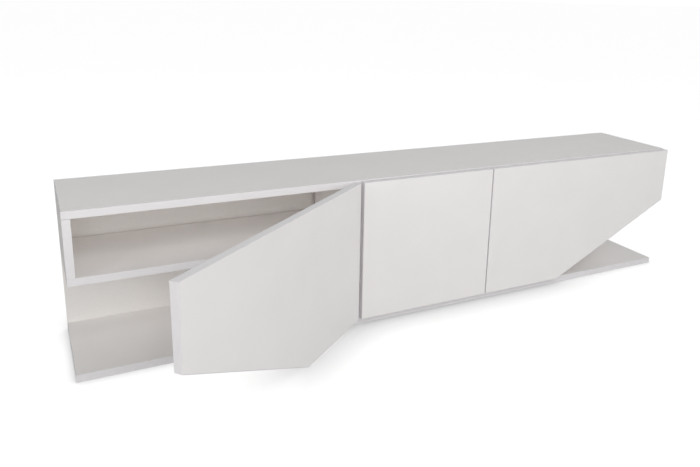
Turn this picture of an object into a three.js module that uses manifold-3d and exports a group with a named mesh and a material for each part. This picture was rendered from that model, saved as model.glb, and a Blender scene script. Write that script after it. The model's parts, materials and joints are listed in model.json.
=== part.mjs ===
// A long, low TV stand: a white board carcass with an open box hung at each end, three flush doors without
// handles on concealed cup hinges, and a push latch behind the centre door.
// Millimetres, +Z up, +X to the right and +Y to the back as seen from the front.
// The origin is the centre of the bottom panel's underside.

import * as THREE from "three";
import { mergeVertices } from "three/addons/utils/BufferGeometryUtils.js";
import Module from "manifold-3d";

const wasm = await Module();
wasm.setup();

// ---- driving dimensions ----

const LENGTH = 1800;
const DEPTH = 280;
const HEIGHT = 400;
const BOARD = 18;
const BACK_BOARD = 5;
const GAP = 0.3; // joint between two boards or fittings that touch
const THROUGH = 80; // length of a cutter that goes right through a board or fitting
const CENTRE_BAY = 404; // between the middles of the two doubled dividers
const WING_FLOOR = 229; // underside of the shelf that closes each wing box
const SHELF_SETBACK = 4; // the wing shelves stop this far in front of the back panels
const DIVIDER_SETBACK = 8; // the dividers stop this far in front of them, which leaves room for a cable
const BOTTOM_LIP = 4; // the bottom panel reaches this far in front of the carcass, below the doors
const ROUND = { bar: 32, shaft: 24, curve: 14 }; // sides of a round bar and a thin shaft, steps of an arc
const WELD = 1e-4; // vertices closer than this are one

const DOOR_THICKNESS = 18;
const DOOR_AIR = 2; // between a closed door and the carcass
const DOOR_REVEAL = 3; // between two closed doors
const DOOR_BOTTOM = 19;
const DOOR_TOP = 398;
const CUT_START = 269; // of an outer door: along its bottom edge, from the hinge edge to the slanted cut

// A hinge is drawn in the plane of its door and divider: s runs along the front from the divider's face
// towards the door's free end, d runs from the carcass front to the back.
const LINK_ON_ARM = { s: 20, d: 12 };
const LINK_ON_CUP = { s: -5, d: -6 };
const LINK_BULGE = 13.5;
const LINK_TURN = 0.75; // the link turns back by this share of the door's turn
const CUP_SETBACK = 22.5; // from the door's hinge edge to the middle of the cup
const CUP_RADIUS = 17.5;
const CUP_DEPTH = 11.5;
const PIN_RADIUS = 1.2;
const HINGE_HEIGHTS = { lower: 96, upper: 318 };
const REST_OPENING = { left: 39, centre: 0, right: 0 }; // degrees

const FRONT = -DEPTH / 2;
const BACK = DEPTH / 2;
const INSIDE_BOTTOM = BOARD + GAP;
const INSIDE_TOP = HEIGHT - BOARD - GAP;
const WING_SHELF_TOP = WING_FLOOR + BOARD;

// ---- materials ----

const finish = (color, roughness, metalness = 0) =>
  new THREE.MeshStandardMaterial({ color, roughness, metalness });

const WHITE_BOARD = { color: 0xe6e4e2, roughness: 0.38 };
const BACK_SHEET = { color: 0xd6d2cf, roughness: 0.5 };
const NICKEL = { color: 0xb9bbbd, roughness: 0.3, metalness: 1 };
const GREY_PLASTIC = { color: 0xa9abad, roughness: 0.45 };

// ---- shape helpers ----

function solidOf(geometry) {
  const bare = geometry.clone();
  bare.deleteAttribute("normal");
  bare.deleteAttribute("uv");
  const merged = mergeVertices(bare, WELD);
  const mesh = new wasm.Mesh({
    numProp: 3,
    vertProperties: merged.attributes.position.array,
    triVerts: new Uint32Array(merged.index.array),
  });
  return new wasm.Manifold(mesh);
}

function geometryOf(solid) {
  const mesh = solid.getMesh();
  const geometry = new THREE.BufferGeometry();
  geometry.setAttribute("position", new THREE.BufferAttribute(mesh.vertProperties, 3));
  geometry.setIndex(new THREE.BufferAttribute(mesh.triVerts, 1));
  return geometry.toNonIndexed();
}

function cut(geometry, ...tools) {
  const solid = tools.reduce((rest, tool) => rest.subtract(solidOf(tool)), solidOf(geometry));
  return geometryOf(solid);
}

function join(...geometries) {
  return geometryOf(geometries.map(solidOf).reduce((all, next) => all.add(next)));
}

function block(x0, x1, y0, y1, z0, z1) {
  const box = new THREE.BoxGeometry(x1 - x0, y1 - y0, z1 - z0);
  return box.translate((x0 + x1) / 2, (y0 + y1) / 2, (z0 + z1) / 2);
}

// A round bar along X, Y or Z, centred on a point.
function bar(axis, radius, length, x, y, z, sides = ROUND.bar) {
  const geometry = new THREE.CylinderGeometry(radius, radius, length, sides);
  if (axis === "x") geometry.rotateZ(Math.PI / 2);
  if (axis === "z") geometry.rotateX(Math.PI / 2);
  return geometry.translate(x, y, z);
}

// A flat shape drawn in x and z, given a thickness from y0 back to y0 - thickness.
function slab(points, y0, thickness) {
  const shape = new THREE.Shape(points.map(([x, z]) => new THREE.Vector2(x, z)));
  const geometry = new THREE.ExtrudeGeometry(shape, { depth: thickness, bevelEnabled: false });
  return geometry.rotateX(Math.PI / 2).translate(0, y0, 0);
}

// A flat shape drawn in x and y, standing between two heights.
function plate(shape, z0, z1) {
  const geometry = new THREE.ExtrudeGeometry(shape, {
    depth: z1 - z0,
    bevelEnabled: false,
    curveSegments: ROUND.curve,
  });
  return geometry.translate(0, 0, z0);
}

const object = new THREE.Group();

function piece(parent, name, geometry, look) {
  const mesh = new THREE.Mesh(geometry, finish(look.color, look.roughness, look.metalness));
  mesh.name = name;
  parent.add(mesh);
  return mesh;
}

// ---- carcass ----

const CONNECTOR = { head: 7.5, headThickness: 1.6, shaft: 2.4, bore: 2.7, setIn: 60 };
const CONNECTOR_HEIGHTS = { lower: 60, upper: 340 };
const divider = {
  middle: CENTRE_BAY / 2,
  inner: CENTRE_BAY / 2 - BOARD,
  outer: CENTRE_BAY / 2 + BOARD,
};

function addCarcass() {
  const half = LENGTH / 2;
  piece(object, "top_panel", block(-half, half, FRONT, BACK, HEIGHT - BOARD, HEIGHT), WHITE_BOARD);
  piece(object, "bottom_panel", block(-half, half, FRONT - BOTTOM_LIP, BACK, 0, BOARD), WHITE_BOARD);
  const seam = divider.middle;
  addBackPanel("left_back_panel", -half, -seam - GAP / 2);
  addBackPanel("centre_back_panel", -seam + GAP / 2, seam - GAP / 2);
  addBackPanel("right_back_panel", seam + GAP / 2, half);
  for (const [side, sign] of [["left", -1], ["right", 1]]) {
    addWingBox(side, sign);
    addDoubledDivider(side, sign);
  }
}

function addBackPanel(name, x0, x1) {
  piece(object, name, block(x0, x1, BACK - BACK_BOARD, BACK, INSIDE_BOTTOM, INSIDE_TOP), BACK_SHEET);
}

// The box at each end hangs from the top panel: a shelf with a short end panel standing on it, open in front.
function addWingBox(side, sign) {
  const wing = new THREE.Group();
  wing.scale.x = sign;
  object.add(wing);
  const end = LENGTH / 2;
  const rear = BACK - BACK_BOARD - GAP;
  const endPanel = block(end - BOARD, end, FRONT, rear, WING_SHELF_TOP + GAP, INSIDE_TOP);
  piece(wing, side + "_end_panel", endPanel, WHITE_BOARD);
  const shelf = block(
    divider.outer + GAP,
    end,
    FRONT,
    BACK - BACK_BOARD - SHELF_SETBACK,
    WING_FLOOR,
    WING_SHELF_TOP,
  );
  piece(wing, side + "_wing_shelf", shelf, WHITE_BOARD);
}

// Two boards back to back, held together by connector bolts near the front.
function addDoubledDivider(side, sign) {
  const pair = new THREE.Group();
  pair.scale.x = sign;
  object.add(pair);
  const rear = BACK - BACK_BOARD - DIVIDER_SETBACK;
  const y = FRONT + CONNECTOR.setIn;
  const bores = Object.values(CONNECTOR_HEIGHTS).map((z) =>
    bar("x", CONNECTOR.bore, THROUGH, divider.middle, y, z, ROUND.shaft),
  );
  const outer = block(divider.middle + GAP / 2, divider.outer, FRONT, rear, INSIDE_BOTTOM, INSIDE_TOP);
  const inner = block(divider.inner, divider.middle - GAP / 2, FRONT, rear, INSIDE_BOTTOM, INSIDE_TOP);
  piece(pair, side + "_outer_divider", cut(outer, ...bores), WHITE_BOARD);
  piece(pair, side + "_inner_divider", cut(inner, ...bores), WHITE_BOARD);
  for (const [level, z] of Object.entries(CONNECTOR_HEIGHTS)) {
    const reach = BOARD + GAP + CONNECTOR.headThickness / 2;
    const heads = [-1, 1].map((end) =>
      bar("x", CONNECTOR.head, CONNECTOR.headThickness, divider.middle + end * reach, y, z),
    );
    const shaft = bar("x", CONNECTOR.shaft, 2 * reach, divider.middle, y, z, ROUND.shaft);
    piece(pair, `${side}_${level}_connector_bolt`, join(shaft, ...heads), NICKEL);
  }
}

// ---- concealed hinges ----

const HINGE_EDGE = -(BOARD - DOOR_REVEAL / 2); // the door's hinge edge, in s
const CUP_MIDDLE = HINGE_EDGE + CUP_SETBACK;
const CUP = { wall: 2, boreAir: 0.3, mouth: 8, sides: 40 }; // mouth: length of the cutter that opens it
const NOTCH = { depth: 3, width: 10, reach: 5 }; // in the cup's rim, under the link of a wide open door
const FLANGE = { start: -4, width: 20, halfHeight: 28, thickness: 0.8 }; // start: from the cup's middle
const PIN = { bore: PIN_RADIUS + GAP, onArm: 7.2, onCup: 9, sides: 20 }; // onArm and onCup: half lengths
const LINK = { halfWidth: 4.5, thickness: 2, eye: 2.7, steps: 16 };
const ARM = { cheekIn: 5.5, cheekOut: 6.7, low: 3.2, crown: 17, web: 1.2 };
const ARM_LENGTHS = { nose: 4.6, chamfer: 4, front: 23, webFront: 26, rear: 68 };
const WING_PLATE = { thickness: 2.5, halfHeight: 25, front: 27, rear: 47 };
const PLATE_FOOT = { halfHeight: 8, front: 21, rear: 66 };
const PLATE_SPINE = { top: 11, halfHeight: 4.5, front: 27, rear: 60 };

// The cup stands in the door with its mouth to the back, and its flange lies on the door's rear face.
function hingeCup(z) {
  const rear = -DOOR_AIR;
  const inner = CUP_RADIUS - CUP.wall;
  const profile = [
    [0, -CUP_DEPTH],
    [CUP_RADIUS, -CUP_DEPTH],
    [CUP_RADIUS, GAP],
    [inner, GAP],
    [inner, CUP.wall - CUP_DEPTH],
    [0, CUP.wall - CUP_DEPTH],
  ].map(([radius, y]) => new THREE.Vector2(radius, y));
  const cup = new THREE.LatheGeometry(profile, CUP.sides).translate(CUP_MIDDLE, rear, z);
  const start = CUP_MIDDLE + FLANGE.start;
  const lowest = rear + GAP / 2;
  const flange = block(
    start,
    start + FLANGE.width,
    lowest,
    lowest + FLANGE.thickness,
    z - FLANGE.halfHeight,
    z + FLANGE.halfHeight,
  );
  const mouth = bar("y", inner, CUP.mouth, CUP_MIDDLE, rear, z, CUP.sides);
  const edge = CUP_MIDDLE - CUP_RADIUS;
  const halfNotch = NOTCH.width / 2;
  const notch = block(
    edge - NOTCH.reach,
    edge + NOTCH.reach,
    rear - NOTCH.depth,
    rear + NOTCH.depth,
    z - halfNotch,
    z + halfNotch,
  );
  return cut(join(cup, flange), mouth, notch);
}

function cupBore(z) {
  const depth = CUP_DEPTH + CUP.boreAir;
  return bar("y", CUP_RADIUS + CUP.boreAir, 2 * depth, CUP_MIDDLE, -DOOR_AIR, z, CUP.sides);
}

// The link is a strip bent round the door's edge, with an eye at each end, drawn from its eye on the arm.
function hingeLink(z) {
  const start = new THREE.Vector2(0, 0);
  const end = new THREE.Vector2(LINK_ON_CUP.s - LINK_ON_ARM.s, LINK_ON_CUP.d - LINK_ON_ARM.d);
  const outward = new THREE.Vector2(-end.y, end.x).normalize().multiplyScalar(2 * LINK_BULGE);
  const curve = new THREE.QuadraticBezierCurve(start, end.clone().multiplyScalar(0.5).add(outward), end);
  const sides = [[], []];
  for (let i = 0; i <= LINK.steps; i += 1) {
    const point = curve.getPoint(i / LINK.steps);
    const along = curve.getTangent(i / LINK.steps);
    const across = new THREE.Vector2(-along.y, along.x).multiplyScalar(LINK.thickness / 2);
    sides[0].push(point.clone().add(across));
    sides[1].unshift(point.clone().sub(across));
  }
  const strip = plate(new THREE.Shape([...sides[0], ...sides[1]]), z - LINK.halfWidth, z + LINK.halfWidth);
  const eyes = [start, end].map((p) => bar("z", LINK.eye, 2 * LINK.halfWidth, p.x, p.y, z, PIN.sides));
  const bores = [start, end].map((p) => bar("z", PIN.bore, THROUGH, p.x, p.y, z, PIN.sides));
  return cut(join(strip, ...eyes), ...bores);
}

function hingePin(halfLength, at, z) {
  return bar("z", PIN_RADIUS, 2 * halfLength, at.s, at.d, z, PIN.sides);
}

// The arm is a channel over the mounting plate: two cheeks that end in a nose round the link's pin.
function hingeArm(z) {
  const { s, d } = LINK_ON_ARM;
  const { nose, chamfer, front, webFront, rear } = ARM_LENGTHS;
  const side = new THREE.Shape();
  side.moveTo(ARM.low, front);
  side.lineTo(ARM.low, rear);
  side.lineTo(ARM.crown - chamfer, rear);
  side.lineTo(ARM.crown, rear - chamfer);
  side.lineTo(ARM.crown, webFront);
  side.lineTo(s + nose, d);
  side.absarc(s, d, nose, 0, -Math.PI, true);
  side.lineTo(s - nose, d + chamfer);
  side.closePath();
  const cheeks = [-1, 1].map((hand) => {
    const [z0, z1] = [hand * ARM.cheekIn, hand * ARM.cheekOut].sort((a, b) => a - b);
    return plate(side, z + z0, z + z1);
  });
  const web = block(
    ARM.crown - ARM.web,
    ARM.crown,
    webFront,
    rear - chamfer,
    z - ARM.cheekOut,
    z + ARM.cheekOut,
  );
  return cut(join(web, ...cheeks), bar("z", PIN.bore, THROUGH, s, d, z, PIN.sides));
}

// The mounting plate is a cross screwed to the divider, with a spine that the arm clips over.
function mountingPlate(z) {
  const upright = (half) => [z - half, z + half];
  const base = [GAP, GAP + WING_PLATE.thickness];
  const wings = block(...base, WING_PLATE.front, WING_PLATE.rear, ...upright(WING_PLATE.halfHeight));
  const foot = block(...base, PLATE_FOOT.front, PLATE_FOOT.rear, ...upright(PLATE_FOOT.halfHeight));
  const { top, front, rear, halfHeight } = PLATE_SPINE;
  const spine = block(GAP, top, front, rear, ...upright(halfHeight));
  return join(wings, foot, spine);
}

// ---- doors ----

// An outer door's lower free corner is cut off by a slanted line that ends level with the wing box's floor.
function doorOutline(width, cutStart) {
  const free = HINGE_EDGE + width;
  const corners = [[HINGE_EDGE, DOOR_BOTTOM]];
  if (cutStart) corners.push([HINGE_EDGE + cutStart, DOOR_BOTTOM], [free, WING_FLOOR]);
  else corners.push([free, DOOR_BOTTOM]);
  corners.push([free, DOOR_TOP], [HINGE_EDGE, DOOR_TOP]);
  return corners;
}

// A door with its hinges. Its group is drawn as if hinged on the left; the sign turns it round.
function addDoor(name, faceX, sign, width, cutStart) {
  const side = new THREE.Group();
  side.position.set(faceX, FRONT, 0);
  side.scale.x = sign;
  object.add(side);

  const opening = THREE.MathUtils.degToRad(REST_OPENING[name]);
  const links = new THREE.Group();
  links.position.set(LINK_ON_ARM.s, LINK_ON_ARM.d, 0);
  links.rotation.z = LINK_TURN * opening;
  side.add(links);

  const door = new THREE.Group();
  door.position.set(LINK_ON_CUP.s - LINK_ON_ARM.s, LINK_ON_CUP.d - LINK_ON_ARM.d, 0);
  door.rotation.z = -(1 + LINK_TURN) * opening;
  links.add(door);
  const leaf = new THREE.Group();
  leaf.position.set(-LINK_ON_CUP.s, -LINK_ON_CUP.d, 0);
  door.add(leaf);

  const heights = Object.entries(HINGE_HEIGHTS);
  const panel = slab(doorOutline(width, cutStart), -DOOR_AIR, DOOR_THICKNESS);
  piece(leaf, name + "_door", cut(panel, ...heights.map(([, z]) => cupBore(z))), WHITE_BOARD);
  for (const [level, z] of heights) {
    piece(side, `${name}_${level}_hinge_plate`, mountingPlate(z), NICKEL);
    piece(side, `${name}_${level}_hinge_arm`, hingeArm(z), NICKEL);
    piece(side, `${name}_${level}_hinge_arm_pin`, hingePin(PIN.onArm, LINK_ON_ARM, z), NICKEL);
    piece(links, `${name}_${level}_hinge_link`, hingeLink(z), NICKEL);
    piece(leaf, `${name}_${level}_hinge_cup`, hingeCup(z), NICKEL);
    piece(leaf, `${name}_${level}_hinge_cup_pin`, hingePin(PIN.onCup, LINK_ON_CUP, z), NICKEL);
  }
  return leaf;
}

// ---- push latch behind the centre door's free edge ----

const LATCH = { x: -164, halfWidth: 8, height: 15, front: 1.5, length: 66, bore: 4.4, boreDepth: 45 };
const PLUNGER = { radius: 4, tip: -0.6, length: 34 };
const STRIKE = { halfSize: 8, thickness: 0.8 };

function addLatch(centreLeaf, leafFaceX) {
  const top = INSIDE_TOP;
  const z = top - LATCH.height / 2;
  const { x, halfWidth } = LATCH;
  const front = FRONT + LATCH.front;
  const body = block(x - halfWidth, x + halfWidth, front, front + LATCH.length, top - LATCH.height, top);
  const bore = bar("y", LATCH.bore, 2 * LATCH.boreDepth, x, front, z);
  piece(object, "latch_housing", cut(body, bore), GREY_PLASTIC);
  const tip = FRONT + PLUNGER.tip;
  const plunger = bar("y", PLUNGER.radius, PLUNGER.length, x, tip + PLUNGER.length / 2, z);
  piece(object, "latch_plunger", plunger, GREY_PLASTIC);
  const s = leafFaceX - x;
  const rear = -DOOR_AIR + GAP / 2;
  const { halfSize, thickness } = STRIKE;
  const strike = block(s - halfSize, s + halfSize, rear, rear + thickness, z - halfSize, z + halfSize);
  piece(centreLeaf, "latch_strike", strike, NICKEL);
}

// ---- assembly ----

addCarcass();

const sideDoor = LENGTH / 2 - divider.middle - DOOR_REVEAL / 2;
addDoor("left", -divider.outer, -1, sideDoor, CUT_START);
addDoor("right", divider.outer, 1, sideDoor, CUT_START);
const centreLeaf = addDoor("centre", divider.inner, -1, CENTRE_BAY - DOOR_REVEAL);
addLatch(centreLeaf, divider.inner);

export default object;
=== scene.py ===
"""Looks of the long low TV stand: banded white boards, hinges, fittings and latch, on a pale studio floor.

Lengths are in metres, in the model's frame: +X right, +Y back, +Z up, origin under the bottom panel's middle.
"""

import json
import math

import bmesh
import bpy
from mathutils import Matrix, Vector

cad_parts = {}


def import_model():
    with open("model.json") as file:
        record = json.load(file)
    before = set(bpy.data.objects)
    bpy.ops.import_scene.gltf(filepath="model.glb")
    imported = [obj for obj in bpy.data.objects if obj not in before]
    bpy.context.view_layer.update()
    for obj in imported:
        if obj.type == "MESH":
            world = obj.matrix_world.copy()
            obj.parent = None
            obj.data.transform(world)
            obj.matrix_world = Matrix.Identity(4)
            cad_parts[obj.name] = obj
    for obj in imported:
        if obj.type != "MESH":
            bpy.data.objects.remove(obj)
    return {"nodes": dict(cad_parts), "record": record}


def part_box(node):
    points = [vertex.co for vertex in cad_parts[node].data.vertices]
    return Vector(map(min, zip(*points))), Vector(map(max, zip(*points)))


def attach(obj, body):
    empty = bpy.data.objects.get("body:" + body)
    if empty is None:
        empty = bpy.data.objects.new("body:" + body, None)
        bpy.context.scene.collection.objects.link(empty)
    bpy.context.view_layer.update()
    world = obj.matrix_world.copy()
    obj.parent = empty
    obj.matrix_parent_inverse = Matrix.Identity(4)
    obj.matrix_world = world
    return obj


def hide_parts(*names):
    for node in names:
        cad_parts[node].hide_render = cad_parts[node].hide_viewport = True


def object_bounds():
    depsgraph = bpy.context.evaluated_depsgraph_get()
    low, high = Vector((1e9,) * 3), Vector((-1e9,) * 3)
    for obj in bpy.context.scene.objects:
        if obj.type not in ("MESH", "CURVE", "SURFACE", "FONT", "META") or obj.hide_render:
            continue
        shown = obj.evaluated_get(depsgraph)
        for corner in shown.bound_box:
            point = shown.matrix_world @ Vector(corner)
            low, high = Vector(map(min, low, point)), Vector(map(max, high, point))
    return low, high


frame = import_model()
CAD_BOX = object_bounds()
MM = 0.001
ORIGIN = Vector((0, 0, 0))
X, Y, Z = Vector((1, 0, 0)), Vector((0, 1, 0)), Vector((0, 0, 1))
ROOT = "carcass"
SIDES = ("left", "right")
DOORS = ("left", "centre", "right")
LEVELS = ("lower", "upper")
JOINTS = {joint["name"]: joint for joint in frame["record"]["behaviour"]["joints"]}
COUPLINGS = {pair["joint"]: pair["ratio"] for pair in frame["record"]["behaviour"]["couplings"]}


# ---- materials ----

class Shader:
    """A material's node tree with short ways to add and join nodes."""

    def __init__(self, name):
        self.material = bpy.data.materials.new(name)
        self.material.use_nodes = True
        self.tree = self.material.node_tree
        self.tree.nodes.clear()
        self.output = self.node("ShaderNodeOutputMaterial")
        self.surface = self.node("ShaderNodeBsdfPrincipled")
        self.join(self.surface, "BSDF", self.output, "Surface")
        self.place = self.node("ShaderNodeTexCoord")

    def node(self, kind, **values):
        made = self.tree.nodes.new(kind)
        for name, value in values.items():
            setattr(made, name, value)
        return made

    def join(self, source, output, target, name):
        self.tree.links.new(source.outputs[output], target.inputs[name])

    def set(self, **values):
        for name, value in values.items():
            self.surface.inputs[name.replace("_", " ")].default_value = value

    def stretched(self, stretch):
        mapping = self.node("ShaderNodeMapping")
        mapping.inputs["Scale"].default_value = stretch
        self.join(self.place, "Object", mapping, "Vector")
        return mapping

    def noise(self, scale, detail=3.0, roughness=0.5, stretch=(1, 1, 1)):
        noise = self.node("ShaderNodeTexNoise")
        noise.inputs["Scale"].default_value = scale
        noise.inputs["Detail"].default_value = detail
        noise.inputs["Roughness"].default_value = roughness
        self.join(self.stretched(stretch), "Vector", noise, "Vector")
        return noise

    def flakes(self, scale, stretch=(1, 1, 1)):
        cells = self.node("ShaderNodeTexVoronoi")
        cells.inputs["Scale"].default_value = scale
        self.join(self.stretched(stretch), "Vector", cells, "Vector")
        return cells

    def vary(self, source, output, low, high, target):
        spread = self.node("ShaderNodeMapRange")
        spread.inputs["To Min"].default_value = low
        spread.inputs["To Max"].default_value = high
        self.join(source, output, spread, "Value")
        self.join(spread, "Result", self.surface, target)

    def colours(self, source, output, dark, light, spread=(0.3, 0.7)):
        ramp = self.node("ShaderNodeValToRGB")
        ramp.color_ramp.elements[0].position = spread[0]
        ramp.color_ramp.elements[1].position = spread[1]
        ramp.color_ramp.elements[0].color = (*dark, 1)
        ramp.color_ramp.elements[1].color = (*light, 1)
        self.join(source, output, ramp, "Fac")
        self.join(ramp, "Color", self.surface, "Base Color")

    def bump(self, source, output, distance, strength=1.0):
        bump = self.node("ShaderNodeBump")
        bump.inputs["Distance"].default_value = distance
        bump.inputs["Strength"].default_value = strength
        self.join(source, output, bump, "Height")
        self.join(bump, "Normal", self.surface, "Normal")


def scaled(colour, factor):
    return tuple(channel * factor for channel in colour)


BOARD_WHITE = (0.905, 0.886, 0.873)
BAND_WHITE = (0.840, 0.822, 0.833)
SHEET_WHITE = (0.915, 0.893, 0.872)


def melamine():
    """Satin white melamine: a faint cloudiness and the fine pearl of the press plate."""
    shader = Shader("white_melamine")
    clouds = shader.noise(9, detail=4)
    shader.colours(clouds, "Fac", scaled(BOARD_WHITE, 0.985), scaled(BOARD_WHITE, 1.01))
    pearl = shader.noise(1400, detail=2, roughness=0.6)
    shader.bump(pearl, "Fac", 0.02 * MM, 0.35)
    shader.vary(shader.noise(40, detail=5), "Fac", 0.36, 0.46, "Roughness")
    shader.set(IOR=1.46)
    return shader.material


def edge_band():
    """ABS edge band, a little glossier than the board and finely ribbed by the trimming knives."""
    shader = Shader("white_edge_band")
    clouds = shader.noise(24, detail=3)
    shader.colours(clouds, "Fac", scaled(BAND_WHITE, 0.985), BAND_WHITE)
    ribs = shader.noise(2200, detail=1)
    shader.bump(ribs, "Fac", 0.01 * MM, 0.3)
    shader.vary(shader.noise(70, detail=4), "Fac", 0.30, 0.40, "Roughness")
    shader.set(IOR=1.48)
    return shader.material


def glue_line():
    """The hair line of glue between a board's face and its edge band."""
    shader = Shader("glue_line")
    smear = shader.noise(300, detail=4)
    shader.colours(smear, "Fac", (0.20, 0.18, 0.16), (0.42, 0.39, 0.35))
    shader.vary(smear, "Fac", 0.5, 0.7, "Roughness")
    return shader.material


def chipboard():
    """The raw edge of a board: flattened wood chips with dark pores between them."""
    shader = Shader("raw_chipboard")
    chips = shader.flakes(420, stretch=(0.6, 0.6, 1.4))
    shader.colours(chips, "Color", (0.24, 0.135, 0.075), (0.60, 0.42, 0.27), (0.1, 0.9))
    pores = shader.noise(700, detail=6, roughness=0.7)
    shader.bump(pores, "Fac", 0.4 * MM, 0.8)
    shader.vary(pores, "Fac", 0.8, 0.95, "Roughness")
    return shader.material


def back_sheet():
    """Lacquered fibreboard with a slight orange peel and felted specks."""
    shader = Shader("lacquered_fibreboard")
    specks = shader.noise(420, detail=6, roughness=0.7)
    shader.colours(specks, "Fac", scaled(SHEET_WHITE, 0.95), scaled(SHEET_WHITE, 1.01), (0.35, 0.6))
    peel = shader.noise(260, detail=2)
    shader.bump(peel, "Fac", 0.06 * MM, 0.5)
    shader.vary(specks, "Fac", 0.50, 0.65, "Roughness")
    return shader.material


def plated(name, dull, bright, roughness):
    """Plated metal with a brushed grain and a few dull patches."""
    shader = Shader(name)
    patches = shader.noise(60, detail=5)
    shader.colours(patches, "Fac", dull, bright)
    grain = shader.noise(900, detail=2, stretch=(1, 1, 0.08))
    shader.bump(grain, "Fac", 0.02 * MM, 0.25)
    shader.vary(patches, "Fac", roughness - 0.06, roughness + 0.1, "Roughness")
    shader.set(Metallic=1.0)
    return shader.material


def moulded_plastic(name, colour, roughness):
    """Moulded plastic with a spark-eroded surface."""
    shader = Shader(name)
    mottle = shader.noise(80, detail=3)
    shader.colours(mottle, "Fac", scaled(colour, 0.95), scaled(colour, 1.03))
    erosion = shader.noise(1800, detail=3, roughness=0.7)
    shader.bump(erosion, "Fac", 0.03 * MM, 0.5)
    shader.vary(mottle, "Fac", roughness - 0.05, roughness + 0.05, "Roughness")
    return shader.material


def clear_rubber():
    """Milky polyurethane of the door bumpers."""
    shader = Shader("clear_bumper")
    haze = shader.noise(200, detail=3)
    shader.colours(haze, "Fac", (0.70, 0.71, 0.71), (0.82, 0.83, 0.83))
    shader.vary(haze, "Fac", 0.12, 0.2, "Roughness")
    shader.set(IOR=1.49, Transmission_Weight=0.2)
    return shader.material


MELAMINE, BAND, GLUE, CHIPBOARD = melamine(), edge_band(), glue_line(), chipboard()
BACK_SHEET = back_sheet()
NICKEL = plated("nickel_plate", (0.50, 0.49, 0.47), (0.72, 0.71, 0.69), 0.26)
ZINC = plated("zinc_casting", (0.40, 0.40, 0.41), (0.58, 0.58, 0.60), 0.42)
MAGNET = plated("magnet_plate", (0.22, 0.22, 0.23), (0.34, 0.34, 0.36), 0.35)
LATCH_GREY = moulded_plastic("latch_grey_plastic", (0.40, 0.41, 0.42), 0.42)
BUMPER = clear_rubber()


# ---- mesh helpers ----

SHARP_ANGLE = 35  # degrees; an edge whose faces turn by more stays sharp
ROUND_STEPS = 4  # along a quarter circle
CUP_STEPS, BOLT_STEPS, SHAFT_STEPS, SCREW_STEPS, NAIL_STEPS = 64, 40, 24, 28, 16  # all the way round


def new_object(name, bm, materials, smooth_angle=None):
    bmesh.ops.recalc_face_normals(bm, faces=bm.faces)
    mesh = bpy.data.meshes.new(name)
    bm.to_mesh(mesh)
    bm.free()
    for material in materials:
        mesh.materials.append(material)
    if smooth_angle is not None:
        smooth(mesh, smooth_angle)
    return link(name, mesh)


def link(name, mesh):
    made = bpy.data.objects.new(name, mesh)
    bpy.context.scene.collection.objects.link(made)
    return made


def mesh_of(thing):
    """Takes an object's mesh and removes the object."""
    mesh = thing.data
    bpy.data.objects.remove(thing)
    return mesh


def smooth(mesh, angle=SHARP_ANGLE):
    mesh.polygons.foreach_set("use_smooth", [True] * len(mesh.polygons))
    mesh.set_sharp_from_angle(angle=math.radians(angle))


def frame_body(node):
    for body, nodes in frame["record"]["behaviour"]["bodies"].items():
        if node in nodes:
            return body
    return ROOT


def corners_of(node):
    """The low and the high corner of a CAD node's box."""
    return [Vector(corner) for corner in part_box(node)]


def finish_piece(piece, body, slot, *nodes):
    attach(piece, body)
    if nodes:
        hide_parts(*nodes)
    return piece


def combine(target, others, operation="DIFFERENCE"):
    """Cuts the other objects out of the target, or joins them to it, and removes them."""
    for other in others:
        modifier = target.modifiers.new("combine", "BOOLEAN")
        modifier.operation = operation
        modifier.solver = "EXACT"
        modifier.object = other
    view = bpy.context.evaluated_depsgraph_get()
    made = bpy.data.meshes.new_from_object(target.evaluated_get(view))
    target.modifiers.clear()
    target.data = made
    for other in others:
        bpy.data.objects.remove(other)


def lathe(bm, profile, centre, axis, steps):
    """A turned solid: the profile's (radius, height) points go round an axis through the centre."""
    turn = axis.normalized().to_track_quat("Z", "Y")
    rings = []
    for radius, height in profile:
        if radius == 0:
            rings.append([bm.verts.new(centre + turn @ Vector((0, 0, height)))])
            continue
        ring = []
        for step in range(steps):
            angle = 2 * math.pi * step / steps
            point = Vector((radius * math.cos(angle), radius * math.sin(angle), height))
            ring.append(bm.verts.new(centre + turn @ point))
        rings.append(ring)
    for lower, upper in zip(rings, rings[1:]):
        for step in range(steps):
            after = (step + 1) % steps
            corners = [lower[step % len(lower)], lower[after % len(lower)]]
            corners += [upper[after % len(upper)], upper[step % len(upper)]]
            bm.faces.new(list(dict.fromkeys(corners)))


def join_loops(bm, lower, upper):
    """The faces between two loops with as many vertices, in order."""
    sides = [(i, (i + 1) % len(lower)) for i in range(len(lower))]
    return [bm.faces.new((lower[i], lower[j], upper[j], upper[i])) for i, j in sides]


def turned(name, profile, centre, axis, materials, steps):
    bm = bmesh.new()
    lathe(bm, profile, centre, axis, steps)
    return new_object(name, bm, materials)


def rod(name, radius, low, high, centre, axis, steps=SHAFT_STEPS):
    """A plain round cutter between two heights along its axis."""
    return turned(name, [(0, low), (radius, low), (radius, high), (0, high)], centre, axis, (), steps)


def block(name, low, high):
    bm = bmesh.new()
    bmesh.ops.create_cube(bm, size=1)
    size = Vector(high) - Vector(low)
    bmesh.ops.scale(bm, vec=Vector([abs(length) for length in size]), verts=bm.verts)
    bmesh.ops.translate(bm, vec=(Vector(low) + Vector(high)) / 2, verts=bm.verts)
    return new_object(name, bm, ())


# ---- banded boards ----

BAND_THICKNESS = 1.0 * MM
GLUE_WIDTH = 0.25 * MM
GLUE_DEPTH = 0.06 * MM
BAND_RADIUS = 0.7 * MM
WELD_DISTANCE = 0.001 * MM
BOARD_MATERIALS = (MELAMINE, BAND, GLUE, CHIPBOARD)
FACE_SLOT, BAND_SLOT, GLUE_SLOT, RAW_SLOT = range(len(BOARD_MATERIALS))


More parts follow.
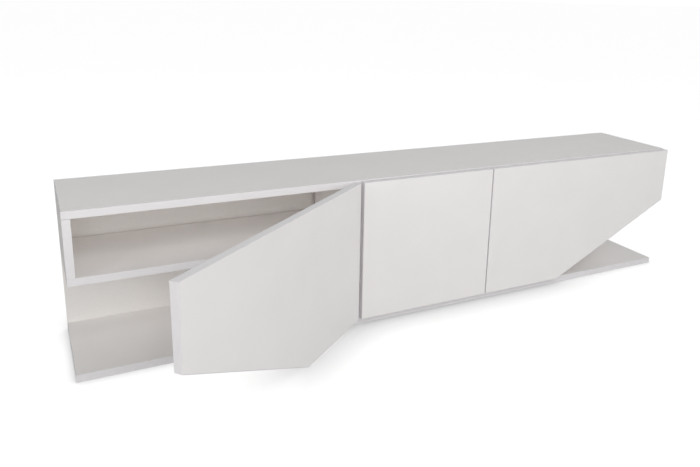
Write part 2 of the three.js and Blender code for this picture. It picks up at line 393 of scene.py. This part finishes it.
def inset_corner(outline, index, before, after):
    """A corner of an outline once the sides before and after it have moved inward."""
    here = outline[index]
    normals = []
    for start, end in ((outline[index - 1], here), (here, outline[(index + 1) % len(outline)])):
        side = (end - start).normalized()
        normals.append(Vector((-side.y, side.x)))
    return here + Matrix(normals).inverted() @ Vector((before, after))


def strip(bm, outline, side, banded, profile, place, material):
    """Sweeps a closed (inset, height) profile along one side: mitred at a banded neighbour, else square."""
    count = len(outline)
    after = (side + 1) % count
    loops = []
    for index, neighbour in ((side, side - 1), (after, after)):
        loop = []
        for inset, height in profile:
            other = inset if banded[neighbour] else 0
            insets = (other, inset) if index == side else (inset, other)
            loop.append(bm.verts.new(place(inset_corner(outline, index, *insets), height)))
        if not banded[neighbour]:
            bm.faces.new(loop).material_index = material
        loops.append(loop)
    for face in join_loops(bm, *loops):
        face.material_index = material


def band_profile(thickness):
    """The edge band's section: square inside, with rounded outer corners."""
    points = [(BAND_THICKNESS, thickness), (BAND_THICKNESS, 0)]
    for start, height in ((-90, BAND_RADIUS), (180, thickness - BAND_RADIUS)):
        for step in range(ROUND_STEPS + 1):
            angle = math.radians(start - 90 * step / ROUND_STEPS)
            inset = BAND_RADIUS + BAND_RADIUS * math.cos(angle)
            points.append((inset, height + BAND_RADIUS * math.sin(angle)))
    return points


def banded_board(name, outline, thickness, place, raw=()):
    """A faced board with an edge band on every side that isn't raw. The outline's corners go anticlockwise,
    and place turns a point of the outline and a height into 3-D."""
    bm = bmesh.new()
    count = len(outline)
    banded = [side not in raw for side in range(count)]
    core = BAND_THICKNESS + GLUE_WIDTH
    insets = [core if faced else 0 for faced in banded]
    inner = [inset_corner(outline, i, insets[i - 1], insets[i]) for i in range(count)]
    faces = []
    for height in (0, thickness):
        faces.append([bm.verts.new(place(corner, height)) for corner in inner])
        bm.faces.new(faces[-1])
    for side, edge in enumerate(join_loops(bm, *faces)):
        edge.material_index = FACE_SLOT if banded[side] else RAW_SLOT
    glue = [(BAND_THICKNESS, GLUE_DEPTH), (core, GLUE_DEPTH)]
    glue += [(core, thickness - GLUE_DEPTH), (BAND_THICKNESS, thickness - GLUE_DEPTH)]
    for side in range(count):
        if banded[side]:
            strip(bm, outline, side, banded, band_profile(thickness), place, BAND_SLOT)
            strip(bm, outline, side, banded, glue, place, GLUE_SLOT)
    bmesh.ops.remove_doubles(bm, verts=bm.verts, dist=WELD_DISTANCE)
    return new_object(name, bm, BOARD_MATERIALS)


def board_of(node, thin_axis, raw=()):
    """The banded board that fills a carcass node's box. Its sides count anticlockwise from the lower one."""
    low, high = corners_of(node)
    wide, tall = [axis for axis in range(3) if axis != thin_axis]
    left, right, bottom, top = low[wide], high[wide], low[tall], high[tall]
    outline = [(left, bottom), (right, bottom), (right, top), (left, top)]

    def place(point, height):
        made = Vector((0, 0, 0))
        made[wide], made[tall], made[thin_axis] = point.x, point.y, low[thin_axis] + height
        return made

    thickness = high[thin_axis] - low[thin_axis]
    return banded_board("board_" + node, [Vector(p) for p in outline], thickness, place, raw)


# ---- carcass ----

# Sides without an edge band: a lying board's rear and inner ones, and all but the front of an upright.
FLAT_REAR = 2
FLAT_INNER = {"left": 1, "right": 3}
HIDDEN_UPRIGHT = (0, 1, 2)
BOLT_BORE_RADIUS = 2.7 * MM
BOLT_BORE_REACH = 30 * MM


def carcass():
    for node in ("top_panel", "bottom_panel"):
        finish_piece(board_of(node, 2), ROOT, "white_board", node)
    for side in SIDES:
        shelf, end = side + "_wing_shelf", side + "_end_panel"
        board = board_of(shelf, 2, (FLAT_REAR, FLAT_INNER[side]))
        finish_piece(board, ROOT, "white_board", shelf)
        finish_piece(board_of(end, 0, HIDDEN_UPRIGHT), ROOT, "white_board", end)
        for layer in ("inner", "outer"):
            node = f"{side}_{layer}_divider"
            board = board_of(node, 0, HIDDEN_UPRIGHT)
            combine(board, [bolt_bore(side, level) for level in LEVELS])
            finish_piece(board, ROOT, "white_board", node)


def bolt_bore(side, level):
    low, high = corners_of(f"{side}_{level}_connector_bolt")
    return rod("bore", BOLT_BORE_RADIUS, -BOLT_BORE_REACH, BOLT_BORE_REACH, (low + high) / 2, X)


# ---- doors ----

def about(point, axis, degrees):
    turn = Matrix.Rotation(math.radians(degrees), 4, axis)
    return Matrix.Translation(point) @ turn @ Matrix.Translation(-point)


def shut_to_rest(door):
    """The turn that takes a shut door to its rest pose, from the joints' own limits."""
    link_joint, leaf = JOINTS[door + "_link_pivot"], JOINTS[door + "_door_pivot"]
    leaf_turn = -leaf["range_deg"][0]
    link_turn = COUPLINGS[link_joint["name"]] * leaf_turn
    swing = about(Vector(link_joint["pos_m"]), Vector(link_joint["axis"]), link_turn)
    return about(Vector(leaf["pos_m"]), Vector(leaf["axis"]), leaf_turn) @ swing


def shut_points(node, door):
    back = shut_to_rest(door).inverted()
    return [back @ vertex.co for vertex in frame["nodes"][node].data.vertices]


def shut_box(node, door):
    points = shut_points(node, door)
    low = Vector([min(p[i] for p in points) for i in range(3)])
    high = Vector([max(p[i] for p in points) for i in range(3)])
    return low, high


def towards_free_end(door):
    return X if JOINTS[door + "_link_pivot"]["axis"][2] < 0 else -X


FACE_TOLERANCE = 0.1 * MM


def door_outline(door):
    """The front face's corners in x and z to 0.01 mm, in order round the door, from the shut CAD door."""
    points = shut_points(door + "_door", door)
    front = min(p.y for p in points)
    corners = {(round(p.x, 5), round(p.z, 5)) for p in points if p.y < front + FACE_TOLERANCE}
    middle = sum((Vector(c) for c in corners), Vector((0, 0))) / len(corners)
    return sorted((Vector(c) for c in corners), key=lambda c: math.atan2(c.y - middle.y, c.x - middle.x))


CUP_BORE_AIR = 0.3 * MM


def cup_bore(door, level):
    low, high = shut_box(f"{door}_{level}_hinge_cup", door)
    middle = (low + high) / 2
    radius = (high.x - low.x) / 2 + CUP_BORE_AIR
    mouth = Vector((middle.x, low.y, middle.z))
    return rod("bore", radius, -CUP_BORE_AIR, 2 * (high.y - low.y), mouth, Y, CUP_STEPS)


def doors():
    for door in DOORS:
        low, high = shut_box(door + "_door", door)

        def place(point, height, front=low.y):
            return Vector((point.x, front + height, point.y))

        board = banded_board("board_" + door + "_door", door_outline(door), high.y - low.y, place)
        combine(board, [cup_bore(door, level) for level in LEVELS])
        board.data.transform(shut_to_rest(door))
        finish_piece(board, door + "_door", "white_board", door + "_door")


# ---- hinges ----

CUP_WALL = 1.2 * MM
CUP_ROUND = 1.6 * MM
FLANGE_THICKNESS = 0.8 * MM
FLANGE_START = 4 * MM
FLANGE_END = 16 * MM
FLANGE_ROUND = 5 * MM
NOTCH_DEPTH = 3 * MM
NOTCH_HALF_WIDTH = 5 * MM
CUP_SCREW_IN = 5 * MM
CUP_SCREW_ALONG = 7 * MM
MOUTH_SHY = 0.02 * MM  # the mouth is cut this much inside the cup's wall, so that no two faces coincide
PLATE_THICKNESS = 2.5 * MM
PLATE_SCREW_IN = 16 * MM
PLATE_SCREW_REACH = 16 * MM
ARM_CROWN = 16.7 * MM
ARM_SCREW_FRONT = 27 * MM
ARM_SCREW_REAR = 12 * MM
SMALL_SCREW = (3.2 * MM, 1.8 * MM)  # radius and height of the head
LARGE_SCREW = (4.0 * MM, 2.2 * MM)


def quarter(centre_radius, centre_height, radius, start):
    """Points of a quarter circle in a turned profile, from an angle in degrees on, anticlockwise."""
    angles = [math.radians(start + 90 * step / ROUND_STEPS) for step in range(ROUND_STEPS + 1)]
    return [(centre_radius + radius * math.cos(a), centre_height + radius * math.sin(a)) for a in angles]


def rounded_plate(name, low, high, corner, materials):
    """A flat plate in the plane of x and z, with rounded corners and its thickness along y."""
    bm = bmesh.new()
    outline = []
    corners = ((high.x, high.z, 0), (low.x, high.z, 90), (low.x, low.z, 180), (high.x, low.z, 270))
    for x, z, start in corners:
        centre_x = min(max(x, low.x + corner), high.x - corner)
        centre_z = min(max(z, low.z + corner), high.z - corner)
        outline += quarter(centre_x, centre_z, corner, start)
    loops = [[bm.verts.new((x, y, z)) for x, z in outline] for y in (low.y, high.y)]
    for loop in loops:
        bm.faces.new(loop)
    join_loops(bm, *loops)
    return new_object(name, bm, materials)


def hinge_cup(door, level):
    """A drawn steel cup with a rounded floor, its screw flange, and the notch for the link."""
    node = f"{door}_{level}_hinge_cup"
    low, high = shut_box(node, door)
    away = towards_free_end(door).x
    middle = (low + high) / 2
    radius = (high.x - low.x) / 2
    depth = high.y - low.y
    inner = radius - CUP_WALL
    centre = Vector((middle.x, low.y, middle.z))
    outside = [(0, 0), *quarter(radius - CUP_ROUND, CUP_ROUND, CUP_ROUND, -90), (radius, depth)]
    inside = [(inner, depth), *reversed(quarter(inner - CUP_ROUND, CUP_WALL + CUP_ROUND, CUP_ROUND, -90))]
    cup = turned(node + "_pressing", outside + inside + [(0, CUP_WALL)], centre, Y, (NICKEL,), CUP_STEPS)
    ends = sorted((middle.x - away * FLANGE_START, middle.x + away * FLANGE_END))
    flange_low = Vector((ends[0], high.y - FLANGE_THICKNESS, low.z))
    flange = rounded_plate("flange", flange_low, Vector((ends[1], high.y, high.z)), FLANGE_ROUND, (NICKEL,))
    combine(cup, [flange], "UNION")
    mouth = rod("mouth", inner - MOUTH_SHY, depth - 2 * FLANGE_THICKNESS, 2 * depth, centre, Y, CUP_STEPS)
    rim = middle.x - away * radius
    rear = high.y - FLANGE_THICKNESS
    notch_low = Vector((rim - NOTCH_HALF_WIDTH, rear - NOTCH_DEPTH, middle.z - NOTCH_HALF_WIDTH))
    notch_size = 2 * Vector((NOTCH_HALF_WIDTH, NOTCH_DEPTH, NOTCH_HALF_WIDTH))
    notch = block("notch", notch_low, notch_low + notch_size)
    combine(cup, [mouth, notch])
    smooth(cup.data)
    cup.data.transform(shut_to_rest(door))
    finish_piece(cup, door + "_door", "nickel", node)


def hinges():
    small = screw_mesh("screw_small", *SMALL_SCREW)
    large = screw_mesh("screw_large", *LARGE_SCREW)
    for door in DOORS:
        rest = shut_to_rest(door)
        away = towards_free_end(door)
        for level in LEVELS:
            name = f"{door}_{level}_hinge"
            hinge_cup(door, level)
            low, high = shut_box(name + "_cup", door)
            plate_low, plate_high = corners_of(name + "_plate")
            arm_low, arm_high = corners_of(name + "_arm")
            middle = (low + high) / 2
            for side, z in (("low", low.z + CUP_SCREW_IN), ("high", high.z - CUP_SCREW_IN)):
                seat = Vector((middle.x + away.x * CUP_SCREW_ALONG, high.y, z))
                put(f"{name}_cup_screw_{side}", small, seat, Y, door + "_door", "nickel", rest)
            wall = plate_low.x if away.x > 0 else plate_high.x
            for side, z in (("low", middle.z - PLATE_SCREW_REACH), ("high", middle.z + PLATE_SCREW_REACH)):
                seat = Vector((wall + away.x * PLATE_THICKNESS, plate_low.y + PLATE_SCREW_IN, z))
                put(f"{name}_plate_screw_{side}", large, seat, away, ROOT, "nickel")
            crown = wall + away.x * ARM_CROWN
            for side, y in (("front", arm_low.y + ARM_SCREW_FRONT), ("rear", arm_high.y - ARM_SCREW_REAR)):
                put(f"{name}_arm_screw_{side}", small, Vector((crown, y, middle.z)), away, ROOT, "nickel")


# ---- screws, fittings, bumpers and latch ----

# A head's proportions: heights as shares of its height, the rest as shares of its radius.
RIM_HEIGHT = 0.35
FLAT_RIM_HEIGHT, FLAT_TOP_RADIUS = 0.7, 0.96
CROSS_REACH, CROSS_HALF_WIDTH = 0.6, 0.13
CROSS_BOTTOM, CROSS_TOP = 0.4, 1.5


def screw_mesh(name, radius, height, material=NICKEL, flat=False):
    """A screw or cam head with a cross recess, pointing along +Z from its seat."""
    if flat:
        crown = [(radius, height * FLAT_RIM_HEIGHT), (radius * FLAT_TOP_RADIUS, height)]
    else:
        angles = [math.pi / 2 * step / ROUND_STEPS for step in range(ROUND_STEPS)]
        dome = 1 - RIM_HEIGHT
        crown = [(radius * math.cos(a), height * (RIM_HEIGHT + dome * math.sin(a))) for a in angles]
    head = turned(name, [(0, 0), (radius, 0), *crown, (0, height)], ORIGIN, Z, (material,), SCREW_STEPS)
    cutters = []
    for x, y in ((CROSS_REACH, CROSS_HALF_WIDTH), (CROSS_HALF_WIDTH, CROSS_REACH)):
        low = (-x * radius, -y * radius, height * CROSS_BOTTOM)
        cutters.append(block("cross", low, (x * radius, y * radius, height * CROSS_TOP)))
    combine(head, cutters)
    smooth(head.data)
    return mesh_of(head)


def stand_on(mesh, seat, axis):
    mesh.transform(Matrix.Translation(seat) @ axis.to_track_quat("Z", "Y").to_matrix().to_4x4())


def put(name, mesh, seat, axis, body, slot, turn=None):
    """Puts a copy of a small mesh with its seat at a point and its head along an axis."""
    copy = mesh.copy()
    stand_on(copy, seat, axis)
    if turn is not None:
        copy.transform(turn)
    return finish_piece(link(name, copy), body, slot)


def put_group(name, mesh, seats, axis, body, slot):
    """One piece made of a copy of a small mesh on each seat."""
    bm = bmesh.new()
    for seat in seats:
        copy = mesh.copy()
        stand_on(copy, seat, axis)
        bm.from_mesh(copy)
        bpy.data.meshes.remove(copy)
    piece = new_object(name, bm, mesh.materials, SHARP_ANGLE)
    return finish_piece(piece, body, slot)


HEX_SIDES = 6
HEX_RADIUS = 2.3 * MM
HEX_DEPTH = 1.2 * MM
BOLT_SHAFT = 2.4 * MM
BOLT_HEAD = 1.6 * MM
BOLT_CHAMFER = 0.5 * MM


def connector_bolts():
    """The sleeve and bolt that hold two dividers together: two flat heads with hexagon sockets."""
    for side in SIDES:
        for level in LEVELS:
            node = f"{side}_{level}_connector_bolt"
            low, high = corners_of(node)
            middle = (low + high) / 2
            half = (high.x - low.x) / 2
            radius = (high.z - low.z) / 2
            seat = half - BOLT_HEAD
            head = [(BOLT_SHAFT, seat), (radius, seat)]
            head += [(radius, half - BOLT_CHAMFER), (radius - BOLT_CHAMFER, half)]
            profile = [(0, -half), *((r, -h) for r, h in reversed(head)), *head, (0, half)]
            bolt = turned(f"{side}_{level}_sleeve_bolt", profile, middle, X, (NICKEL,), BOLT_STEPS)
            ends = ((-half - HEX_DEPTH, -half + HEX_DEPTH), (half - HEX_DEPTH, half + HEX_DEPTH))
            combine(bolt, [rod("socket", HEX_RADIUS, *end, middle, X, HEX_SIDES) for end in ends])
            smooth(bolt.data)
            finish_piece(bolt, ROOT, "nickel", node)


CAM_RADIUS = 7.5 * MM
CAM_PROUD = 0.4 * MM
CAM_IN = 34 * MM
CAM_FRONT = 30 * MM
CAM_REAR = 45 * MM


def upright_cams(cam, side, board, depths):
    """Cams at both ends of an upright board, on its face towards the stand's middle."""
    low, high = corners_of(f"{side}_{board}")
    face, inward = (high.x, X) if side == "left" else (low.x, -X)
    levels = (low.z + CAM_IN, high.z - CAM_IN)
    seats = [Vector((face, y, z)) for z in levels for y in depths]
    put_group(f"{side}_{board}_cams", cam, seats, inward, ROOT, "nickel")


def shelf_cams(cam, side, depths):
    """Cams under the inner end of a wing shelf."""
    low, high = corners_of(side + "_wing_shelf")
    inner_end = high.x - CAM_IN if side == "left" else low.x + CAM_IN
    seats = [Vector((inner_end, y, low.z)) for y in depths]
    put_group(side + "_wing_shelf_cams", cam, seats, -Z, ROOT, "nickel")


def cam_fittings():
    """The round cams that pull each butt joint tight, on faces behind the shut doors or towards the floor."""
    cam = screw_mesh("cam", CAM_RADIUS, CAM_PROUD, ZINC, flat=True)
    for side in SIDES:
        low, high = corners_of(side + "_end_panel")
        depths = (low.y + CAM_FRONT, high.y - CAM_REAR)
        upright_cams(cam, side, "end_panel", depths)
        shelf_cams(cam, side, depths)
        upright_cams(cam, side, "inner_divider", depths)


NAIL_RADIUS = 1.6 * MM
NAIL_PROUD = 0.5 * MM
NAIL_SHOULDER = 0.8  # share of the radius and the height
NAIL_STEP = 45 * MM
NAIL_IN = 22 * MM


def spaced(start, end):
    """Evenly spaced places between two ends, about a nail's step apart."""
    count = max(1, round((end - start) / NAIL_STEP))
    return [start + (end - start) * i / count for i in range(count + 1)]


def back_nails():
    """Nails through the back panels into the end panels, the only uprights that reach them."""
    dome = [(NAIL_RADIUS, 0), (NAIL_RADIUS * NAIL_SHOULDER, NAIL_PROUD * NAIL_SHOULDER), (0, NAIL_PROUD)]
    profile = [(0, -NAIL_PROUD), (NAIL_RADIUS, -NAIL_PROUD), *dome]
    mesh = mesh_of(turned("nail", profile, ORIGIN, Z, (NICKEL,), NAIL_STEPS))
    for side in SIDES:
        rear = corners_of(side + "_back_panel")[1].y
        low, high = corners_of(side + "_end_panel")
        x = (low.x + high.x) / 2
        seats = [Vector((x, rear, z)) for z in spaced(low.z + NAIL_IN, high.z - NAIL_IN)]
        put_group(side + "_back_nails", mesh, seats, Y, ROOT, "nickel")


BUMPER_RADIUS = 4 * MM
BUMPER_PROUD = 1.4 * MM
BUMPER_IN = 9 * MM
BUMPER_DROP = 18 * MM
BUMPER_DOME = ((1, 0), (1, 0.3), (0.85, 0.75), (0.5, 0.96), (0, 1))  # shares of the radius and height
BUMPER_SHARP_ANGLE = 50


def door_bumpers():
    """Clear stick-on bumpers near each door's free corners, opposite the carcass's front edges."""
    dome = [(BUMPER_RADIUS * out, BUMPER_PROUD * up) for out, up in BUMPER_DOME]
    mesh = mesh_of(turned("bumper", [(0, 0), *dome], ORIGIN, Z, (BUMPER,), SCREW_STEPS))
    smooth(mesh, BUMPER_SHARP_ANGLE)
    for door in DOORS:
        rest = shut_to_rest(door)
        low, high = shut_box(door + "_door", door)
        away = towards_free_end(door)
        free = high.x if away.x > 0 else low.x
        corners = [p for p in door_outline(door) if abs(p.x - free) < MM]
        top, bottom = max(p.y for p in corners), min(p.y for p in corners)
        for side, z in (("upper", top - BUMPER_IN), ("lower", bottom + BUMPER_DROP)):
            seat = Vector((free - away.x * BUMPER_IN, high.y, z))
            put(f"{door}_door_bumper_{side}", mesh, seat, Y, door + "_door", "grey_plastic", rest)


MAGNET_RADIUS = 2.8 * MM
MAGNET_PROUD = 0.2 * MM
MAGNET_FACE, MAGNET_RIM = 0.8, 0.6  # the flat face's share of the radius, and the rim's of the height
LATCH_SCREW = (2.8 * MM, 1.2 * MM)
LATCH_SCREW_FRONT = 48 * MM
LATCH_SCREW_REAR = 6 * MM


def latch():
    """The magnet in the plunger's tip, and the screws that hold the housing under the top panel."""
    low, high = corners_of("latch_plunger")
    tip = Vector(((low.x + high.x) / 2, low.y, (low.z + high.z) / 2))
    profile = [(0, 0), (MAGNET_RADIUS, 0), (MAGNET_RADIUS, MAGNET_PROUD * MAGNET_RIM)]
    profile += [(MAGNET_RADIUS * MAGNET_FACE, MAGNET_PROUD), (0, MAGNET_PROUD)]
    magnet = turned("latch_magnet", profile, tip, -Y, (MAGNET,), SCREW_STEPS)
    finish_piece(magnet, frame_body("latch_plunger"), "nickel")
    low, high = corners_of("latch_housing")
    small = screw_mesh("latch_screw", *LATCH_SCREW)
    for side, y in (("front", low.y + LATCH_SCREW_FRONT), ("rear", high.y - LATCH_SCREW_REAR)):
        put("latch_screw_" + side, small, Vector((tip.x, y, low.z)), -Z, ROOT, "nickel")


# ---- CAD nodes that stay ----

EASED_EDGE = 0.35 * MM
EASED_FROM_ANGLE = 40  # degrees


def carry_over():
    """Gives each CAD node that stays its own finish, and eases the sharp edges of the nickel and grey plastic
    ones.
    """
    finishes = {
        "nickel": NICKEL,
        "grey_plastic": LATCH_GREY,
        "back_sheet": BACK_SHEET,
        "white_board": MELAMINE,
    }
    for entry in frame["record"]["subparts"]:
        node = frame["nodes"][entry["node"]]
        node.data.materials.clear()
        node.data.materials.append(finishes[entry["material_slot"]])
        if entry["material_slot"] in ("nickel", "grey_plastic"):
            weld = node.modifiers.new("weld", "WELD")
            weld.merge_threshold = WELD_DISTANCE
            bevel = node.modifiers.new("eased_edges", "BEVEL")
            bevel.width = EASED_EDGE
            bevel.segments = 2
            bevel.limit_method = "ANGLE"
            bevel.angle_limit = math.radians(EASED_FROM_ANGLE)


# ---- stage, light and camera ----

CAMERA_AT = (-0.9408, -1.6640, 0.8592)
CAMERA_YAW, CAMERA_PITCH, CAMERA_ROLL = 28.10, 14.74, 1.76
CAMERA_SENSOR, CAMERA_LENS = 36, 35.25  # millimetres
CAMERA_SHIFT = (-0.0526, -0.0825)
CAMERA_CLIP_START = 0.05


def camera():
    data = bpy.data.cameras.new("camera")
    data.sensor_width = CAMERA_SENSOR
    data.lens = CAMERA_LENS
    data.shift_x, data.shift_y = CAMERA_SHIFT
    data.clip_start = CAMERA_CLIP_START
    data.clip_end = 2 * FLOOR_REACH
    made = bpy.data.objects.new("camera", data)
    turn = Matrix.Rotation(math.radians(-CAMERA_YAW), 4, "Z")
    turn = turn @ Matrix.Rotation(math.radians(90 - CAMERA_PITCH), 4, "X")
    turn = turn @ Matrix.Rotation(math.radians(CAMERA_ROLL), 4, "Z")
    made.matrix_world = Matrix.Translation(CAMERA_AT) @ turn
    bpy.context.scene.collection.objects.link(made)
    bpy.context.scene.camera = made


FLOOR_REACH = 300
FLOOR_WHITE = 0.52
# The glow's range from full painted shadow to open floor, then how far and how finely the painted shadow
# reaches.
GLOW_SHADED, GLOW_OPEN = 0.0, 0.80
SHADOW_REACH = 0.15
SHADOW_SAMPLES = 16


def stage_floor():
    """The studio's over-lit white sweep: it glows to the eye, and ambient occlusion darkens the glow into a
    painted shadow where something close above is.
    """
    shader = Shader("studio_floor")
    grain = shader.noise(3, detail=2)
    shader.colours(grain, "Fac", (FLOOR_WHITE,) * 3, (FLOOR_WHITE * 1.01,) * 3)
    shader.set(Roughness=0.9, Emission_Color=(1, 1, 1, 1))
    shader.surface.inputs["Specular IOR Level"].default_value = 0.0
    # Painted shadow: the glow dims with ambient occlusion under and around the stand, in place of cast
    # contact shadows.
    open_sky = shader.node("ShaderNodeAmbientOcclusion")
    open_sky.samples = SHADOW_SAMPLES
    open_sky.inputs["Distance"].default_value = SHADOW_REACH
    shade = shader.node("ShaderNodeMapRange")
    shade.inputs["To Min"].default_value = GLOW_SHADED
    shade.inputs["To Max"].default_value = GLOW_OPEN
    shader.join(open_sky, "AO", shade, "Value")
    glow = shader.node("ShaderNodeMath", operation="MULTIPLY")
    shader.tree.links.new(shade.outputs["Result"], glow.inputs[0])
    shader.tree.links.new(shader.node("ShaderNodeLightPath").outputs["Is Camera Ray"], glow.inputs[1])
    shader.join(glow, "Value", shader.surface, "Emission Strength")
    return shader.material


def floor():
    bm = bmesh.new()
    bmesh.ops.create_grid(bm, x_segments=2, y_segments=2, size=FLOOR_REACH)
    bmesh.ops.translate(bm, vec=Vector((0, 0, CAD_BOX[0][2])), verts=bm.verts)
    new_object("floor", bm, (stage_floor(),))


def area_light(name, place, aim, size, power):
    data = bpy.data.lights.new(name, "AREA")
    data.shape = "RECTANGLE"
    data.size, data.size_y = size
    data.energy = power
    made = bpy.data.objects.new(name, data)
    made.location = place
    made.rotation_euler = (Vector(aim) - Vector(place)).to_track_quat("-Z", "Y").to_euler()
    made.visible_camera = False
    bpy.context.scene.collection.objects.link(made)


SKY_ALL_ROUND = 0.03
SKY_LOBES = (("Y", -1, 0.58), ("X", -1, 0.25), ("X", 1, 0.55), ("Y", 1, 0.82))
LOBE_START, LOBE_FULL = 0.3, 0.9
BACKDROP = 1.1


def world():
    """A white studio: an even light all round, a softbox glow from each side, and a white backdrop."""
    made = bpy.data.worlds.new("studio")
    bpy.context.scene.world = made
    made.use_nodes = True
    tree = made.node_tree
    background = tree.nodes["Background"]
    parts = tree.nodes.new("ShaderNodeSeparateXYZ")
    tree.links.new(tree.nodes.new("ShaderNodeTexCoord").outputs["Generated"], parts.inputs[0])
    light = None
    for axis, hand, amount in SKY_LOBES:
        lobe = tree.nodes.new("ShaderNodeMapRange")
        lobe.interpolation_type = "SMOOTHSTEP"
        lobe.inputs["From Min"].default_value = hand * LOBE_START
        lobe.inputs["From Max"].default_value = hand * LOBE_FULL
        lobe.inputs["To Max"].default_value = amount
        tree.links.new(parts.outputs[axis], lobe.inputs["Value"])
        total = tree.nodes.new("ShaderNodeMath")
        tree.links.new(lobe.outputs["Result"], total.inputs[0])
        # The first lobe is added to the even light, and each later one to the sum before it.
        total.inputs[1].default_value = SKY_ALL_ROUND
        if light:
            tree.links.new(light.outputs["Value"], total.inputs[1])
        light = total
    seen = tree.nodes.new("ShaderNodeMix")
    seen.inputs["B"].default_value = BACKDROP
    tree.links.new(tree.nodes.new("ShaderNodeLightPath").outputs["Is Camera Ray"], seen.inputs["Factor"])
    tree.links.new(light.outputs["Value"], seen.inputs["A"])
    tree.links.new(seen.outputs["Result"], background.inputs["Strength"])
    background.inputs["Color"].default_value = (1, 1, 1, 1)


DIFFUSE_BOUNCES, MAX_BOUNCES = 12, 16
# Name, place, the point it faces, width and height, watts.
SOFTBOXES = (
    ("key_by_camera", (-1.0, -3.0, 1.2), (-0.1, 0, 0.2), (1.4, 1.1), 16),
    ("left_softbox", (-3.2, -1.6, 1.3), (-0.6, 0, 0.2), (1.6, 1.4), 23.3),
    ("high_softbox", (0.3, -3.5, 3.2), (0, 0, 0.2), (4.0, 1.6), 46.6),
    ("right_softbox", (2.6, -3.6, 1.4), (0.5, 0, 0.2), (2.0, 1.5), 16.5),
)


def studio():
    world()
    for softbox in SOFTBOXES:
        area_light(*softbox)
    scene = bpy.context.scene
    scene.view_settings.view_transform = "Standard"
    scene.cycles.diffuse_bounces = DIFFUSE_BOUNCES
    scene.cycles.max_bounces = MAX_BOUNCES


carry_over()
carcass()
doors()
hinges()
connector_bolts()
cam_fittings()
back_nails()
door_bumpers()
latch()
floor()
studio()
camera()
